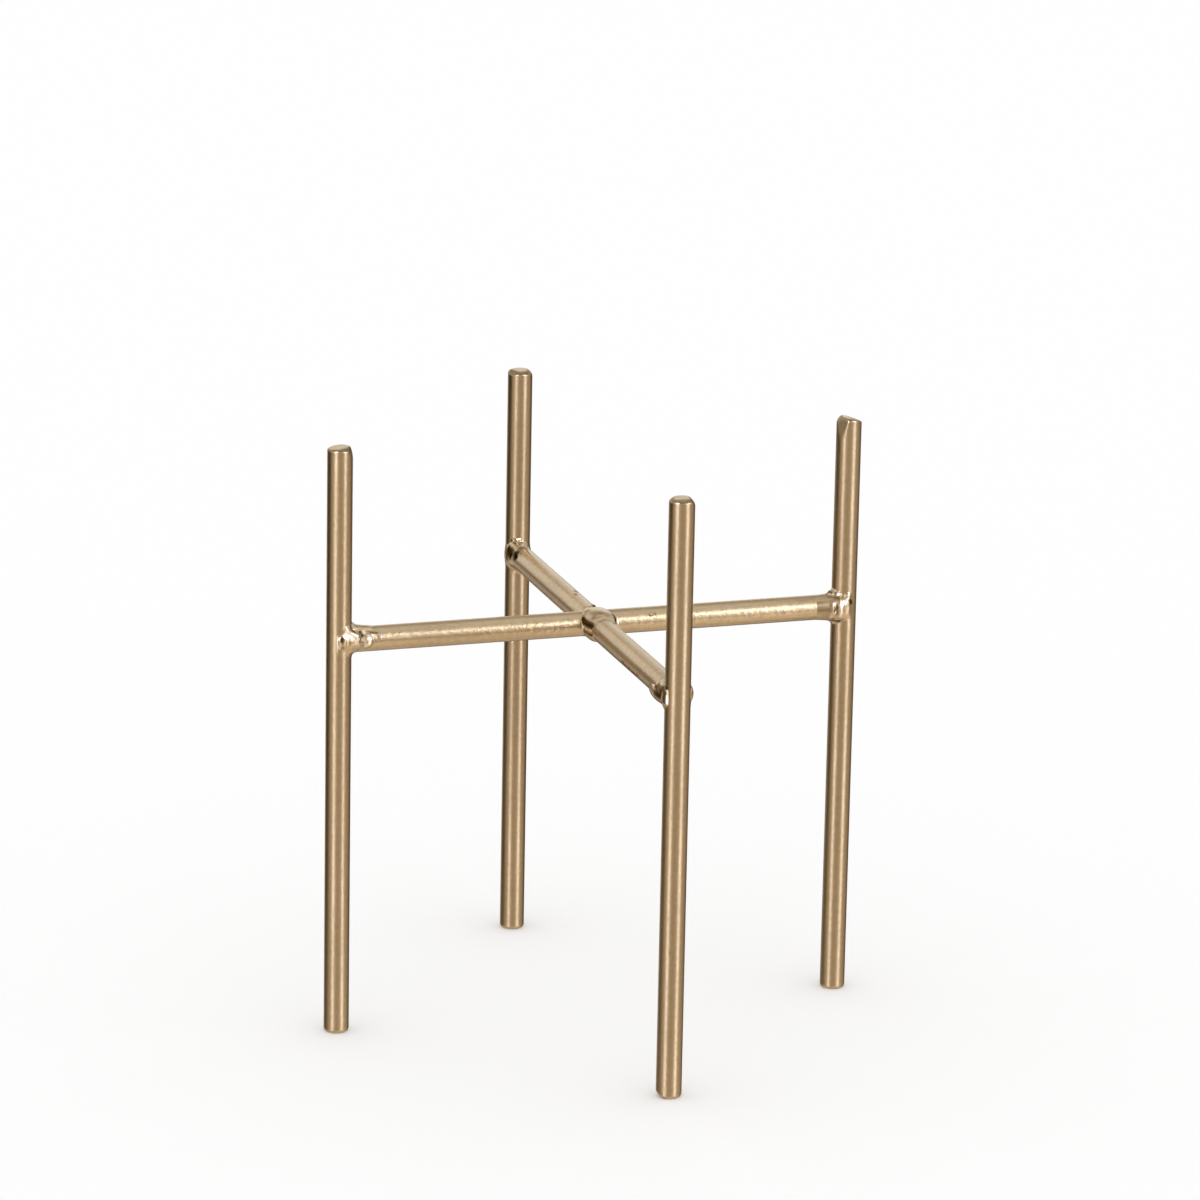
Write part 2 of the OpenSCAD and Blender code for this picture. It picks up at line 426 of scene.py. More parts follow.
@dataclass(frozen=True)
class Patch:
    """A share that is spread about a place on a surface, in millimetres.

    Attributes:
        place: Its centre, or one end of its middle line where it is long.
        share: Its value at its middle.
        radius: Distance from its middle at which that has fallen to a third.
        end: The other end of its middle line.
        edge: Steepness of its sides, 1 for a bell and more for a flatter top.
    """

    place: Vec3
    share: float
    radius: float
    end: Vec3 | None = None
    edge: float = 1.0

    def at(self, p: Array) -> Array:
        """Its value, which falls off as a bell from its middle.

        Args:
            p: The points.

        Returns:
            The value at each point.
        """
        off = p - np.array(self.place)
        if self.end is not None:
            line = np.subtract(self.end, self.place)
            along = np.clip(off @ line / (line @ line), 0.0, 1.0)
            off = off - along[..., None] * line
        return self.share * np.exp(-((off * off).sum(-1) / self.radius ** 2) ** self.edge)


@dataclass(frozen=True)
class Tint(Patch):
    """A patch of the coat's colour, darker where its share is below 0 and paler where it is above:
    painted shade and painted highlights, and the bars' dark marks.
    """


def store_tint(piece: Object, share: Array) -> None:
    """Stores a piece's tint, its painted shade, highlights and marks, at its points, as the
    attribute that its coat reads.
    """
    made = piece.data.attributes.new(TINT, "FLOAT", "POINT")
    made.data.foreach_set("value", np.clip(share, -1.0, 1.0).astype(np.float32))


def sum_tints(tints: tuple[Tint, ...], points: Array) -> Array:
    """Sum of the tints at each point."""
    return sum((tint.at(points) for tint in tints), np.zeros(len(points)))


# ---- Rods ----


@dataclass(frozen=True)
class Flat:
    """A flat ground on the rim of a rod's end.

    Attributes:
        turn: Level direction that it faces.
        tilt: Angle of its normal from the rod's own axis.
        depth: How deep it goes under the rim, along its normal.
    """

    turn: float
    tilt: float
    depth: float


@dataclass
class Leg:
    """An upright leg with rounded and hand-ground ends.

    Attributes:
        nick_turn: Turn of the nick in the rim of its foot, if it has one.
        nick_r: Radius of the nick.
        round_w: How far the rounding of an end comes in from the side.
        round_h: How far the rounding of an end runs along the leg.
        grind_root: Depth, in rod radii, of the point towards which an end is ground.
        grind_edge: Width of the soft edges of the flats, as a share of that depth.
        rim_painted_shade: Tint of the painted shade on the slanting rim of its top.
        rim_rises: Rises of the normal at which that painted shade starts, is full and ends.
        face_start: Radius of the first ring on a face, as a share of the face's.
        end_run: Length of the side near an end, in rod radii.
        end_power: Power with which its rings spread out.
    """

    side: Side
    sizes: StandSizes
    top_flats: tuple[Flat, ...]
    foot_flats: tuple[Flat, ...] = ()
    nick_turn: float | None = None
    nick_r: float = 0.5 * MM
    round_w: float = 0.9 * MM
    round_h: float = 0.9 * MM
    grind_root: float = 3.0
    grind_edge: float = 0.05
    rim_painted_shade: float = -0.55
    rim_rises: tuple[float, ...] = (0.25, 0.45, 0.91, 0.97)
    turns: int = 144
    face_rings: int = 14
    face_start: float = 0.04
    round_rings: int = 14
    end_rings: int = 26
    end_run: float = 3.2
    end_power: float = 1.3
    shaft_rings: int = 60

    @property
    def node(self) -> str:
        """Name of the node that the leg stands for."""
        return f"leg_{self.side.name.lower()}"

    def outline(self) -> tuple[Array, Array]:
        """Radius and height along the leg: foot face, quarter round, shaft and top.

        Returns:
            Radii and heights, from the foot's centre to the top's.
        """
        r, h = self.sizes.rod_r, self.sizes.leg_h
        t = np.radians(np.linspace(0.0, 90.0, self.round_rings))
        face = np.linspace(self.face_start, 1.0, self.face_rings, endpoint=False)
        face = np.append(0.0, face * (r - self.round_w))
        round_r = r - self.round_w * (1 - np.sin(t))
        round_z = self.round_h * (1 - np.cos(t))
        spread = np.linspace(0.0, 1.0, self.end_rings)[1:] ** self.end_power
        side = self.round_h + self.end_run * r * spread
        middle = np.linspace(side[-1], h - side[-1], self.shaft_rings)[1:-1]
        radii = [face, round_r, np.full(len(side), r)]
        heights = [np.zeros(len(face)), round_z, side]
        all_r = np.concatenate([*radii, np.full(len(middle), r), *[x[::-1] for x in radii[::-1]]])
        all_z = np.concatenate([*heights, middle, *[h - x[::-1] for x in heights[::-1]]])
        return all_r, all_z

    def grind(self, points: Array, flats: tuple[Flat, ...], end_z: float, way: int) -> Array:
        """Pulls in what lies beyond the flats, towards a point on the rod's axis.

        A point at share 1 of its ray from that centre goes to the share at which the
        ray meets the flat, if that is less, with a soft minimum that breaks the edge.

        Args:
            points: Array of points with the leg's axis at x = y = 0.
            flats: The flats.
            end_z: Height of the rod's end.
            way: 1 for the top, -1 for the foot.

        Returns:
            The ground points.
        """
        r = self.sizes.rod_r
        depth = self.grind_root * r
        centre = np.array([0.0, 0.0, end_z - way * depth])
        rays = points - centre
        share = np.ones(points.shape[:2])
        for flat in flats:
            lean, rise = np.sin(np.radians(flat.tilt)), np.cos(np.radians(flat.tilt))
            reach = rays @ (lean * unit(flat.turn) + np.array([0.0, 0.0, way * rise]))
            room = r * lean - flat.depth + depth * rise
            # A ray that runs away from the flat has no reach, and meets it far off.
            share = soft_min(share, room / np.maximum(reach, NO_REACH), self.grind_edge)
        near_end = (points[..., 2] - centre[2]) * way > 0
        return np.where(near_end[..., None], centre + rays * share[..., None], points)

    def nicked(self, points: Array) -> Array:
        """Presses a small round nick into the rim of the foot.

        Args:
            points: Array of points with the leg's axis at x = y = 0.

        Returns:
            The points, with those inside the nick's ball moved up to its upper half.
        """
        r = self.sizes.rod_r
        ball = (r - self.round_w / 2) * unit(self.nick_turn) + np.array([0, 0, self.round_h / 3])
        off = points - ball
        flat2 = off[..., 0] ** 2 + off[..., 1] ** 2
        roof = np.sqrt(np.maximum(self.nick_r ** 2 - flat2, 0.0))
        inside = (flat2 < self.nick_r ** 2) & (np.abs(off[..., 2]) < roof)
        lifted = points.copy()
        lifted[..., 2] = np.where(inside, ball[2] + roof, points[..., 2])
        return lifted

    def paint_rim_shade(self, piece: Object) -> None:
        """Paints shade on the rim of the leg's top, where the surface's normal slants upwards.

        Args:
            piece: The leg's object.
        """
        normals = np.zeros(3 * len(piece.data.vertices))
        piece.data.vertex_normals.foreach_get("vector", normals)
        # The rim is darkened as painted shade, by how far its normal slants up.
        share = np.interp(normals[2::3], self.rim_rises, (0.0, 1.0, 1.0, 0.0))
        store_tint(piece, self.rim_painted_shade * share)

    def build(self) -> Object:
        """Makes the leg: its outline turned about its axis, ground at both ends.

        Returns:
            The leg's object.
        """
        radii, heights = self.outline()
        # Rings run up the leg, so each turns backwards for the faces to look outwards.
        rings = circles(radii, heights, self.turns)[:, ::-1]
        rings = self.grind(rings, self.foot_flats, 0.0, -1)
        rings = self.grind(rings, self.top_flats, self.sizes.leg_h, 1)
        if self.nick_turn is not None:
            rings = self.nicked(rings)
        rings = rings + self.side.foot(self.sizes.leg_at)
        piece = ring_mesh(self.node, rings[0, 0], rings[1:-1], rings[-1, 0])
        self.paint_rim_shade(piece)
        return piece


@dataclass
class Bar:
    """A level bar with plain sawn ends, which the beads hide, and marks in its coat.

    Attributes:
        marks: Tints of its coat, from the crossing.
        rings: Rings along it, evenly spaced.
        mark_step: Spacing of further rings near a mark, in millimetres.
        mark_reach: How far those go past the mark, in its radii.
    """

    node: str
    sizes: StandSizes
    marks: tuple[Tint, ...]
    turns: int = 216
    rings: int = 80
    mark_step: float = 0.1
    mark_reach: float = 2.0

    def stations(self, start: float, stop: float, axis: int) -> Array:
        """Places of the rings along the bar.

        Args:
            start: Place of the first one.
            stop: Place of the last one.
            axis: The bar's axis, 0 for X and 1 for Y.

        Returns:
            The places in rising order, to the micrometre.
        """
        places = [np.linspace(start, stop, self.rings)]
        for mark in self.marks:
            first, last = sorted(point[axis] for point in (mark.place, mark.end or mark.place))
            past = self.mark_reach * mark.radius
            places.append(np.arange(first - past, last + past, self.mark_step) * MM)
        return np.unique(np.concatenate(places).round(6))

    def build(self) -> Object:
        """Makes the bar: circles along its axis, from one end of its box to the other.

        Returns:
            The bar's object.
        """
        low, high = (np.array(corner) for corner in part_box(self.node))
        axis = int(np.argmax(high - low))
        stations = self.stations(low[axis], high[axis], axis)
        rings = circles(np.full(len(stations), self.sizes.rod_r), stations, self.turns)
        order = [2, 0, 1] if axis == 0 else [0, 2, 1]
        rings = np.take(rings, order, axis=-1) + self.sizes.crossing
        ends = rings[[0, -1]].mean(axis=1)
        if axis == 0:
            rings = rings[:, ::-1]
        piece = ring_mesh(self.node, ends[0], rings, ends[1])
        points = np.vstack([ends[:1], rings.reshape(-1, 3), ends[1:]])
        store_tint(piece, sum_tints(self.marks, (points - self.sizes.crossing) / MM))
        return piece


# ---- Weld beads ----


@dataclass(frozen=True)
class Lump(Patch):
    """A swelling of the weld, or a pit, whose share is the thickness that it adds."""


@dataclass(frozen=True)
class Blob:
    """A rounded mass of weld metal, an ellipsoid in millimetres.

    Attributes:
        place: Its centre.
        axes: Its half axes.
        blend: Width over which it flows into what it lies on.
    """

    place: Vec3
    axes: Vec3
    blend: float = 0.5

    def away(self, p: Array) -> Array:
        """Distance to its face, close enough near the face.

        Args:
            p: The points.

        Returns:
            The distance from each point, less than 0 inside.
        """
        q = (p - np.array(self.place)) / np.array(self.axes)
        size = np.linalg.norm(q, axis=-1)
        slope = np.linalg.norm(q / np.array(self.axes), axis=-1)
        return size * (size - 1.0) / np.maximum(slope, NO_SLOPE)


@dataclass(frozen=True)
class Sleeve:
    """Weld metal that ran out along one side of a bar, in millimetres.

    Attributes:
        length: How far it runs out from the leg's face.
        thickness: Its thickness at that face, from which it thins evenly.
        turn: Turn round the bar of its middle.
        reach: Turn to either side at which it has thinned to a third.
        rod_r: Rod radius.
        start: Distance from the leg's axis at which it starts, in rod radii.
        rise: Distance in which it comes to its full thickness, in rod radii.
        lift: Height over the bar, in thicknesses, at which it fades.
    """

    length: float
    thickness: float
    turn: float
    reach: float
    rod_r: float
    start: float = 0.3
    rise: float = 0.4
    lift: float = 1.6

    def at(self, p: Array) -> Array:
        """Thickness that it adds, which fades round the bar and above it.

        Args:
            p: Points from where the axes meet, with the bar along +X.

        Returns:
            The thickness at each point.
        """
        out = p[..., 0] / self.rod_r
        share = np.clip((1.0 - (out - 1.0) * self.rod_r / self.length), 0.0, 1.0)
        share = share * np.clip((out - self.start) / self.rise, 0.0, 1.0)
        turn = np.degrees(np.arctan2(p[..., 2], p[..., 1]))
        away = ((turn - self.turn + 180.0) % 360.0 - 180.0) / self.reach
        lift = np.maximum(np.hypot(p[..., 1], p[..., 2]) - self.rod_r, 0.0)
        lift = lift / (self.lift * self.thickness)
        return self.thickness * share * np.exp(-away ** 4 - lift ** 6)


@dataclass
class Bead:
    """A weld bead over the joint of two rods, worked out in millimetres.

    The bead's face is where the blended distance to the rods equals the thickness
    of the weld: a ridge along the line where the rods meet, plus its lumps and
    sleeves, less a dip that draws its edge under the rods. Blobs are blended in as
    the rods are. The face is found along rays from a point in the joint by halving,
    for all rays at once.

    Attributes:
        metal: Its blobs, lumps and sleeves.
        ridge: Thickness of the ridge.
        spread: Distance from the line at which the ridge has thinned to a third.
        fillet: Width of the blend between the rods.
        dip: Depth at which its edge runs out under a rod's face.
        toe: Reach of the ridge along a rod, in spreads.
        lump_reach: Reach of a lump, in its radii.
        axis: Axis about which its rings turn, 0 for X and 2 for Z.
        halvings: Halvings of a ray that find the face.
    """

    node: str
    sizes: StandSizes
    metal: tuple[Blob | Lump | Sleeve, ...]
    tints: tuple[Tint, ...]
    ridge: float = 0.3
    spread: float = 1.3
    fillet: float = 0.7
    dip: float = 0.12
    toe: float = 1.6
    lump_reach: float = 1.5
    axis: int = 0
    turns: int = 220
    halvings: int = 26

    def distances(self, p: Array) -> tuple[Array, Array]:
        """Distances from points to the joint's two rods."""
        raise NotImplementedError

    def fan(self) -> tuple[Array, Array, Vec3]:
        """Start of the rays, their angles from the axis, and half axes of the bounds."""
        raise NotImplementedError

    def to_world(self, points: Array) -> Array:
        """Turns points of the joint to their place in the stand."""
        raise NotImplementedError

    def outside(self, p: Array) -> Array:
        """How far each point is outside the bead.

        Args:
            p: Points from where the axes meet.

        Returns:
            The distance, less than 0 inside.
        """
        a, b = self.distances(p)
        away = soft_min(a, b, self.fillet)
        thickness = self.ridge * np.exp(-(a * a + b * b) / self.spread ** 2) - self.dip
        for part in self.metal:
            if isinstance(part, Blob):
                away = soft_min(away, part.away(p), part.blend)
            else:
                thickness = thickness + part.at(p)
        return away - thickness

    def reach(self, axis: int, way: int) -> float:
        """How far the bead may run.

        Args:
            axis: The axis, 0 for X, 1 for Y and 2 for Z.
            way: 1 for along it, -1 for against it.

        Returns:
            The distance from where the axes meet.
        """
        ends = [self.sizes.rod_mm + self.toe * self.spread]
        for part in self.metal:
            if isinstance(part, Blob):
                ends.append(way * part.place[axis] + part.axes[axis])
            elif isinstance(part, Lump):
                ends.append(way * (part.end or part.place)[axis] + self.lump_reach * part.radius)
            elif axis == 0:
                ends.append(self.sizes.rod_mm + part.length)
        return max(ends)

    def cast(self, root: Array, rays: Array, axes: Vec3) -> Array:
        """Points where rays from root meet the bead's face.

        Args:
            root: Start of the rays, inside the joint.
            rays: Array of unit directions.
            axes: Half axes of the ellipsoid that bounds the bead.

        Returns:
            Array of points, one for each ray.
        """
        far = 1.0 / np.linalg.norm(rays / np.array(axes), axis=-1)
        near = np.zeros_like(far)
        for _ in range(self.halvings):
            mid = (near + far) / 2
            out = self.outside(root + rays * mid[..., None]) > 0
            far = np.where(out, mid, far)
            near = np.where(out, near, mid)
        return root + rays * mid[..., None]

    def build(self) -> Object:
        """Makes the bead from rings of rays about its axis, and paints shade and highlights on it
        with its tints.

        Returns:
            The bead's object.
        """
        root, angles, axes = self.fan()
        rays = circles(np.sin(angles), np.cos(angles), self.turns)
        rings = self.cast(root, np.roll(rays, self.axis + 1, axis=-1), axes)
        poles = self.cast(root, np.outer([1.0, -1.0], np.eye(3)[self.axis]), axes)
        parts = (poles[0], rings, poles[1])
        piece = ring_mesh(self.node, *(self.to_world(part * MM) for part in parts))
        points = np.vstack([part.reshape(-1, 3) for part in parts])
        store_tint(piece, sum_tints(self.tints, points))
        return piece


@dataclass
class LegBead(Bead):
    """The bead between a leg and the end of its bar.

    Attributes:
        climb: Reach of its bounds up and down the leg from the bar's face, in spreads.
        ring_step: Spacing of its rings along the bar.
        ring_turn: Spacing of its rings over the leg, as a turn.
        last_turn: Turn from the bar before which they stop.
    """

    side: Side = Side.LEFT
    climb: float = 1.7
    ring_step: float = 0.1
    ring_turn: float = 1.2
    last_turn: float = 179.0

    def distances(self, p: Array) -> tuple[Array, Array]:
        """Distances to a leg along Z and to a bar along +X that starts in it.

        Args:
            p: Points from where the axes meet.

        Returns:
            The distances to the leg and to the bar.
        """
        rod_r = self.sizes.rod_mm
        side = np.hypot(p[..., 1], p[..., 2]) - rod_r
        behind = np.hypot(p[..., 0], np.maximum(side, 0.0))
        return np.hypot(p[..., 0], p[..., 1]) - rod_r, np.where(p[..., 0] > 0, side, behind)

    def fan(self) -> tuple[Array, Array, Vec3]:
        """Fan of the rays, evenly spaced along the bar and then evenly turned.

        Returns:
            The start of the rays, their angles and the half axes of the bounds.
        """
        rod_r = self.sizes.rod_mm
        root = np.array([rod_r / 3, 0.0, 0.0])
        reach = self.reach(0, 1)
        climb = rod_r + self.climb * self.spread
        over_bar = np.arctan2(rod_r, np.arange(reach - root[0], 0.0, -self.ring_step))
        over_leg = np.radians(np.arange(90.0 + self.ring_turn, self.last_turn, self.ring_turn))
        return root, np.concatenate([over_bar, over_leg]), (reach, climb, climb)

    def to_world(self, points: Array) -> Array:
        """Turns points of the joint to its side of the stand."""
        return self.side.to_world(points, self.sizes)


@dataclass
class CrossBead(Bead):
    """The bead over the crossing, whose rings are ring_turn apart."""

    axis: int = 2
    ring_turn: float = 0.9

    def distances(self, p: Array) -> tuple[Array, Array]:
        """Distances to the cross bar along X and to the half bars along Y."""
        lift, rod_r = np.abs(p[..., 2]), self.sizes.rod_mm
        return np.hypot(p[..., 1], lift) - rod_r, np.hypot(p[..., 0], lift) - rod_r

    def fan(self) -> tuple[Array, Array, Vec3]:
        """Fan of the rays from the crossing, evenly turned."""
        angles = np.radians(np.arange(self.ring_turn, 180.0, self.ring_turn))
        return np.zeros(3), angles, (self.reach(0, 1), self.reach(1, -1), self.reach(2, 1))

    def to_world(self, points: Array) -> Array:
        """Lifts points of the joint to the crossing."""
        return points + self.sizes.crossing


@dataclass(frozen=True)
class Welds:
    """The five weld beads, each with the metal and the tints of its own joint, which paint shade
    and highlights on it.
    """

    sizes: StandSizes

    def bar(self, out: float, turn: float, lift: float = 0.0) -> Vec3:
        """Place over a bar, by its distance from the leg's face, turn and lift."""
        a, reach = np.radians(turn), self.sizes.rod_mm + lift
        return (self.sizes.rod_mm + out, reach * np.cos(a), reach * np.sin(a))

    def leg(self, turn: float, up: float, lift: float = 0.0) -> Vec3:
        """Place over a leg, by its turn, height above the bar's axis and lift."""
        a, reach = np.radians(turn), self.sizes.rod_mm + lift
        return (reach * np.cos(a), reach * np.sin(a), up)

    def left(self) -> LegBead:
        """The weld of the left leg, with a ball of metal and painted shade in a hollow on its bar.
        """
        bar, leg, r = self.bar, self.leg, self.sizes.rod_mm
        return LegBead("weld_left", self.sizes, (
            Blob(bar(3.0, 177, -0.7), (1.75, 1.5, 1.75), 0.3),
            Blob(leg(275, 0.3, -0.5), (1.1, 1.1, 1.75), 0.3),
            Sleeve(6.4, 0.8, 78, 44, r),
            Sleeve(6.6, 0.35, 165, 42, r),
            Lump(leg(292, 3.4, 0.1), 0.5, 0.6, bar(0.6, 148, 0.3)),
            Lump(leg(311, 3.9, 0.1), 0.2, 0.5),
            Lump(bar(1.8, 150, 0.6), -0.5, 0.55),
            Lump(bar(0.3, 120, 0.5), 0.25, 0.6, bar(4.4, 118, 0.2)),
            Lump(bar(4.2, 138, 0.0), 0.14, 0.6, bar(5.6, 142, 0.0)),
            Lump(bar(6.6, 160, 0.1), 0.25, 0.8),
            Lump(bar(2.5, 190, 0.8), -0.25, 0.3),
            Lump(leg(270, 0.9, 0.6), -0.5, 0.45),
        ), (
            Tint(leg(277, 3.7), 1.0, 0.45, leg(290, 2.9, 0.3)),
            Tint(leg(311, 3.9), -0.8, 0.35, bar(-0.1, 131, 0.6)),
            Tint(bar(-0.1, 131, 0.6), -0.6, 0.3, bar(0.9, 143, 0.4)),
            Tint(leg(304, 2.2, 0.5), 0.5, 0.7, leg(305, 1.1, 0.9), edge=1.5),
            Tint(bar(0.3, 153, 0.5), 1.0, 0.55),
            Tint(bar(1.6, 134, 0.2), -1.0, 0.5, bar(1.9, 149), edge=1.5),
            Tint(bar(1.3, 159, 0.1), -0.7, 0.35, bar(1.8, 177, 0.4)),
            Tint(bar(2.5, 137, 0.1), 1.0, 0.4),
            Tint(bar(2.2, 164, 0.3), 0.7, 0.55, bar(2.3, 179, 0.6), edge=1.5),
            Tint(bar(2.1, 187, 0.5), -0.8, 0.22),
            Tint(bar(3.4, 152, 0.4), 0.8, 0.35, bar(4.1, 166, 0.4)),
            Tint(bar(4.1, 166, 0.4), 0.7, 0.35, bar(3.6, 183, 0.6)),
            Tint(bar(3.6, 183, 0.6), 0.5, 0.3, bar(2.5, 196, 0.5)),
            Tint(bar(4.2, 138), -0.8, 0.4, bar(5.6, 142)),
            Tint(bar(6.6, 160), 0.7, 0.6),
            Tint(leg(270, 2.0, 0.1), 0.5, 0.3, leg(255, 1.3, 0.1)),
            Tint(leg(252, 0.8, 0.1), 0.5, 0.3, leg(256, -0.4, 0.2)),
            Tint(leg(282, 1.8, 0.2), 1.0, 0.45),
            Tint(leg(268, 1.4, 0.3), -1.0, 0.45, leg(267, 0.7, 0.3), edge=1.5),
            Tint(leg(271, -0.9, 0.4), -0.5, 0.45),
            Tint(bar(0.5, 121, 0.6), 0.4, 0.28, bar(1.8, 110, 0.5)),
            Tint(bar(1.8, 110, 0.5), 0.4, 0.28, bar(4.1, 123, 0.2)),
            Tint(bar(0.5, 107, 0.9), -0.35, 0.3, bar(4.0, 93, 0.2)),
            Tint(bar(0.8, 128, 0.4), -0.35, 0.3, bar(3.5, 129, 0.1)),
        ), side=Side.LEFT)

    def right(self) -> LegBead:
        """The weld of the right leg, a smooth sleeve with painted shade on a ridge at the leg."""
        bar, leg, r = self.bar, self.leg, self.sizes.rod_mm
        return LegBead("weld_right", self.sizes, (
            Blob(leg(60, -0.7, -1.3), (2.0, 1.9, 2.6), 0.5),
            Sleeve(5.8, 0.7, 0, 110, r),
            Lump(bar(0.0, -10, 0.8), -0.6, 0.5, bar(0.0, 14, 0.8)),
            Lump(leg(55, 0.6, 0.5), 0.5, 0.7, leg(90, 3.2, 0.1)),
            Lump(bar(0.7, 88, 0.7), 0.6, 0.6, bar(-0.2, 80, 0.8)),
            Lump(bar(0.9, -35, 0.5), 0.2, 0.4, bar(0.9, 22, 0.5)),
            Lump(leg(50, 3.6, 0.2), 0.4, 0.5),
        ), (
            Tint(bar(4.3, 10), -0.3, 1.7, bar(2.1, 359, 0.2), edge=4.0),
            Tint(bar(0.6, 22, 0.6), 1.0, 0.45),
            Tint(bar(1.0, 9, 0.6), 0.5, 0.35, bar(1.3, 328, 0.5)),
            Tint(bar(-0.2, 14, 0.4), -0.8, 0.35, bar(0.5, 356, 0.5)),
            Tint(leg(55, 0.7, 1.3), -0.6, 0.35, leg(53, -0.5, 1.3)),
            Tint(bar(0.3, 341, 0.5), -0.4, 0.4),
            Tint(bar(0.3, 349, 0.4), 0.6, 0.22),
            Tint(leg(60, 0.5, 1.3), 0.6, 0.3, leg(60, -1.6, 1.1)),
            Tint(leg(62, 1.0, 1.1), 1.0, 0.6, leg(75, 1.7, 0.5)),
            Tint(leg(75, 1.7, 0.5), 1.0, 0.45, leg(88, 2.6, 0.3)),
            Tint(leg(88, 3.4, 0.3), 0.8, 0.3),
            Tint(leg(99, 2.1, 0.1), -1.0, 0.45, leg(106, 1.5, 0.1), edge=1.5),
            Tint(leg(105, 1.3, 0.1), -0.5, 0.4, leg(82, 0.7, 0.4)),
            Tint(bar(0.6, 304, 0.6), -0.9, 0.35, leg(51, -3.1, 0.4)),
            Tint(leg(51, -3.1, 0.4), -0.6, 0.3, leg(69, -2.6, 0.2)),
            Tint(bar(1.0, 84, 0.8), -1.0, 0.4),
            Tint(bar(1.1, 73, 0.4), 0.8, 0.3),
            Tint(bar(0.6, 75, 0.9), -1.0, 0.35),
            Tint(bar(0.3, 65, 0.8), 0.8, 0.3),
            Tint(bar(-0.2, 64, 1.1), -1.0, 0.35),
            Tint(leg(44, 3.6, 0.2), 1.0, 0.4, leg(56, 3.5, 0.3)),
            Tint(bar(1.6, 61, 0.3), -0.6, 0.4, leg(55, 2.7, 0.5)),
        ), side=Side.RIGHT)

    def front(self) -> LegBead:
        """The weld of the front leg, with a long mass under its bar and hollows darkened with
        painted shade.
        """
        bar, leg = self.bar, self.leg
        return LegBead("weld_front", self.sizes, (
            Blob(bar(3.5, 330, -1.0), (7.4, 2.1, 2.1), 0.6),
            Blob(bar(0.9, 8, -0.8), (3.2, 1.3, 2.6), 0.3),
            Blob(leg(71, -0.8, -0.55), (1.6, 1.1, 2.4), 0.4),
            Blob(leg(257, 0.8, -0.6), (1.3, 1.2, 2.1), 0.3),
            Lump(bar(1.2, 62, 0.2), -0.3, 0.6),
            Lump(bar(3.9, 20, 0.3), 0.3, 0.5, bar(4.3, 60, 0.1)),
            Lump(leg(104, -1.2, 0.1), 0.35, 0.45, leg(104, 1.6, 0.1)),
        ), (
            Tint(bar(3.0, 5, 0.3), -0.6, 1.1, leg(54, 0.3, 1.1), edge=2.0),
            Tint(leg(60, 1.9, 0.4), -0.7, 0.6, leg(95, 1.2, 0.4), edge=2.0),
            Tint(bar(2.7, 348, 0.8), -0.4, 0.7, leg(63, -0.6, 0.8)),
            Tint(leg(103, 1.8, 0.1), 1.0, 0.28),
            Tint(leg(106, 0.5, 0.1), 1.0, 0.4, leg(110, -0.8, 0.1)),
            Tint(bar(6.0, 10), 0.5, 0.35, bar(4.0, 31, 0.2)),
            Tint(bar(1.9, 25, 0.5), -0.4, 0.4),
            Tint(bar(0.0, 38, 0.7), 0.7, 0.35),
            Tint(bar(2.0, 39, 0.6), -0.5, 0.3, bar(2.1, 56)),
            Tint(bar(4.5, 344, 0.8), 0.5, 0.22, bar(3.5, 325, 1.0)),
            Tint(leg(96, 2.6), -1.0, 0.35, leg(106, 2.3)),
        ), side=Side.FRONT)

    def back(self) -> LegBead:
        """The weld of the back leg, a high fin on its bar with drops of metal above it."""
        bar, leg = self.bar, self.leg
        return LegBead("weld_back", self.sizes, (
            Blob(bar(0.6, 156, -0.75), (5.8, 1.25, 3.1), 0.4),
            Blob(leg(301, 0.4, -0.65), (1.8, 1.35, 2.9), 0.4),
            Lump(leg(335, 4.0, 0.1), 0.45, 0.5, leg(352, 3.5, 0.2)),
            Lump(leg(325, 5.2, 0.1), 0.35, 0.5, leg(320, 4.4, 0.1)),
            Lump(leg(350, 4.7, 0.1), 0.4, 0.45),
            Lump(bar(0.3, 88, 0.2), 0.4, 0.7),
            Lump(bar(2.0, 160, 0.5), -0.25, 0.35, bar(3.2, 122, 0.8)),
        ), (
            Tint(bar(-0.2, 143, 0.9), -1.0, 1.1, bar(0.8, 168, 0.3), edge=3.0),
            Tint(bar(1.4, 136, 1.0), -0.8, 0.6, bar(1.8, 153, 0.5), edge=2.0),
            Tint(bar(2.9, 129, 0.7), 0.4, 0.22, bar(3.2, 162, 0.1)),
            Tint(bar(4.6, 133, 0.5), -1.0, 0.75, bar(4.9, 163, 0.1), edge=2.5),
            Tint(leg(298, 2.3, 0.6), 0.5, 0.25, leg(300, 0.6, 0.8)),
            Tint(bar(-0.1, 174, 0.3), 0.5, 0.25, bar(3.7, 194)),
            Tint(leg(327, 5.6), -1.0, 0.4, leg(320, 4.4)),
            Tint(bar(0.2, 112, 1.1), -0.9, 0.35),
            Tint(leg(350, 4.7, 0.1), 1.0, 0.5),
            Tint(bar(0.2, 95, 1.1), -0.9, 0.28, bar(0.3, 89, 0.9)),
            Tint(bar(0.7, 86, 0.4), 0.3, 0.3, bar(1.9, 77)),
        ), side=Side.BACK)

